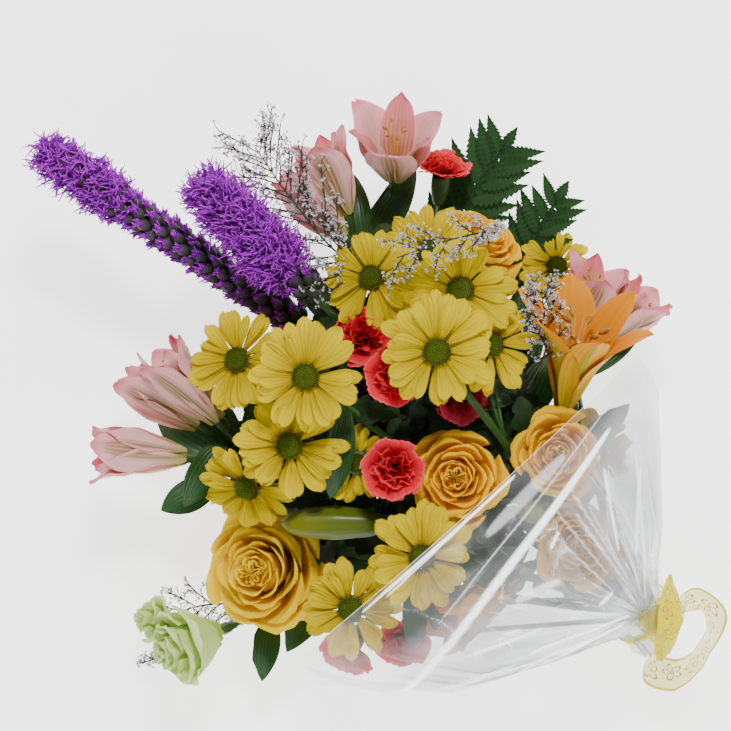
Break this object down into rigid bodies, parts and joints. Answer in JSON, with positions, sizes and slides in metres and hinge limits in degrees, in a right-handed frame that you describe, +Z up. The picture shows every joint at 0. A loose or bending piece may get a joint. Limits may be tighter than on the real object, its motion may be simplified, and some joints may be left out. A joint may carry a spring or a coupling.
{
  "type": "mixed flower bouquet",
  "caption": "Mixed cut-flower bouquet lying on its side in a gathered clear film wrap tied with a sheer yellow ribbon.",
  "frame": {"origin": "middle of the flat spot of the wrap that the bouquet rests on", "axes": "+X along the bouquet from the tie to the flower tips, +Y to its left, +Z up from the table"},
  "size_m": [0.5058, 0.3992, 0.1589],
  "materials": {
    "daisy": "petal, satin",
    "rose": "petal, velvety",
    "carnation": "petal, matte",
    "lily": "petal, waxy satin",
    "alstroemeria": "petal, satin",
    "lisianthus": "petal, soft",
    "liatris": "fluffy florets, matte",
    "limonium": "dry, matte",
    "fern": "leaf, satin",
    "green": "leaf and stem, satin",
    "film": "clear glossy film",
    "ribbon": "sheer organza"
  },
  "bodies": {
    "root": {"alstroemeria_1": "alstroemeria", "alstroemeria_2": "alstroemeria", "alstroemeria_3": "alstroemeria", "alstroemeria_4": "alstroemeria", "alstroemeria_5": "alstroemeria", "alstroemeria_6": "alstroemeria", "alstroemeria_7": "alstroemeria", "alstroemeria_8": "alstroemeria", "alstroemeria_stem_1": "green", "alstroemeria_stem_2": "green", "alstroemeria_stem_3": "green", "carnation_1": "carnation", "carnation_2": "carnation", "carnation_3": "carnation", "carnation_4": "carnation", "carnation_5": "carnation", "carnation_6": "carnation", "carnation_7": "carnation", "carnation_stems": "green", "daisy_1": "daisy", "daisy_10": "daisy", "daisy_11": "daisy", "daisy_12": "daisy", "daisy_13": "daisy", "daisy_14": "daisy", "daisy_2": "daisy", "daisy_3": "daisy", "daisy_4": "daisy", "daisy_5": "daisy", "daisy_6": "daisy", "daisy_7": "daisy", "daisy_8": "daisy", "daisy_9": "daisy", "daisy_spray_1": "green", "daisy_spray_2": "green", "daisy_spray_3": "green", "fern_1": "fern", "fern_2": "fern", "film_wrap": "film", "liatris_1": "liatris", "liatris_2": "liatris", "liatris_stem_1": "green", "liatris_stem_2": "green", "lily_1": "lily", "lily_2": "lily", "lily_stem": "green", "limonium_1": "limonium", "limonium_2": "limonium", "limonium_3": "limonium", "limonium_4": "limonium", "lisianthus": "lisianthus", "lisianthus_stem": "green", "ribbon": "ribbon", "rose_1": "rose", "rose_2": "rose", "rose_3": "rose", "rose_4": "rose", "rose_5": "rose", "rose_stems": "green"}
  },
  "joints": []
}
